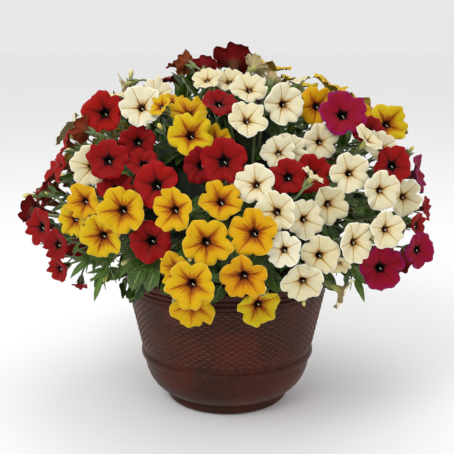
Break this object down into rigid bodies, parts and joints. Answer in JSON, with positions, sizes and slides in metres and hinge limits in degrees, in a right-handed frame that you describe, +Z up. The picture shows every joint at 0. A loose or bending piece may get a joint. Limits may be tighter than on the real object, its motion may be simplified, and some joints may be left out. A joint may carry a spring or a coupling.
{
  "type": "potted petunia",
  "caption": "Mixed petunia mound in red, yellow, cream and magenta, rooted in potting mix in a round brown plastic patio pot with a ledge bead.",
  "frame": {"origin": "centre of the pot's underside, on the surface it stands on", "axes": "+Z up along the pot's axis, -Y towards the side shown in the picture, +X to its right"},
  "size_m": [0.5492, 0.5284, 0.4947],
  "materials": {
    "pot_plastic": "semi-gloss moulded, embossed dashes",
    "potting_mix": "damp, crumbly peat mix",
    "foliage": "soft, slightly sticky leaves",
    "petals_red": "velvety petals with a dark throat and veins",
    "petals_yellow": "velvety petals with a dark throat and veins",
    "petals_cream": "velvety petals with a dark throat and veins",
    "petals_magenta": "velvety petals with a dark throat and veins"
  },
  "bodies": {
    "root": {"pot": "pot_plastic", "potting_mix": "potting_mix", "blooms_red_upper_left": "petals_red", "blooms_red_left_edge": "petals_red", "blooms_red_left": "petals_red", "blooms_red_left_front": "petals_red", "blooms_red_far_left": "petals_red", "blooms_red_low_left": "petals_red", "blooms_yellow_left": "petals_yellow", "blooms_yellow_centre": "petals_yellow", "blooms_yellow_low": "petals_yellow", "blooms_yellow_front": "petals_yellow", "blooms_yellow_upper": "petals_yellow", "blooms_yellow_top": "petals_yellow", "blooms_yellow_right": "petals_yellow", "blooms_cream_top_left": "petals_cream", "blooms_cream_left": "petals_cream", "blooms_cream_top": "petals_cream", "blooms_cream_top_back": "petals_cream", "blooms_cream_upper": "petals_cream", "blooms_cream_middle": "petals_cream", "blooms_cream_right_top": "petals_cream", "blooms_cream_centre": "petals_cream", "blooms_cream_right": "petals_cream", "blooms_cream_right_low": "petals_cream", "blooms_cream_low": "petals_cream", "blooms_cream_low_front": "petals_cream", "blooms_red_centre": "petals_red", "blooms_red_top_centre": "petals_red", "blooms_red_right_centre": "petals_red", "blooms_red_right": "petals_red", "blooms_magenta_top": "petals_magenta", "blooms_magenta_right": "petals_magenta", "blooms_red_far_right": "petals_red", "blooms_magenta_low_right": "petals_magenta", "blooms_red_top": "petals_red", "blooms_back_01": "petals_cream", "blooms_back_02": "petals_red", "blooms_back_03": "petals_yellow", "blooms_back_04": "petals_magenta", "blooms_back_05": "petals_red", "blooms_back_06": "petals_red", "blooms_back_07": "petals_yellow", "blooms_back_08": "petals_cream", "blooms_back_09": "petals_red", "blooms_back_10": "petals_yellow", "blooms_back_11": "petals_magenta", "blooms_back_12": "petals_yellow", "blooms_back_13": "petals_red", "blooms_back_14": "petals_cream", "plant_1": "foliage", "plant_2": "foliage", "plant_3": "foliage", "plant_4": "foliage", "plant_5": "foliage"}
  },
  "joints": []
}
